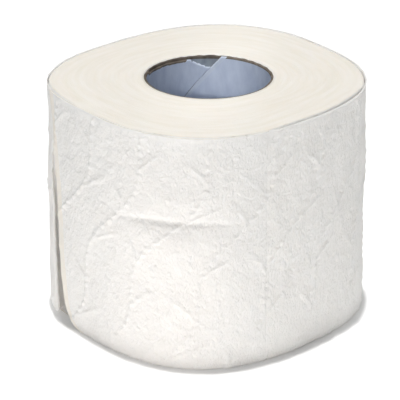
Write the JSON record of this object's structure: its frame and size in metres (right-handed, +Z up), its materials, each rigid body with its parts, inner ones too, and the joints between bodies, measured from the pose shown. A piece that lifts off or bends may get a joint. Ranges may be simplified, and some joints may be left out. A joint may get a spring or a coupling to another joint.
{
  "type": "toilet paper roll",
  "caption": "Roll of embossed tissue wound on a cardboard core, slightly squashed, standing on end, with the loose end of the last turn lifting off at one side.",
  "frame": {"origin": "on the core's axis, at the level of the end face that the roll stands on", "axes": "+Z up along the core's axis; -Y is the front, where the loose end of the last turn lies against the roll, and its cut edge is at the left, at -X"},
  "size_m": [0.1183, 0.1252, 0.09],
  "materials": {
    "tissue": "soft embossed tissue, matt",
    "greyboard": "recycled grey board, matt, spiral wound"
  },
  "bodies": {
    "root": {"paper_roll": "tissue", "cardboard_core": "greyboard"}
  },
  "joints": []
}
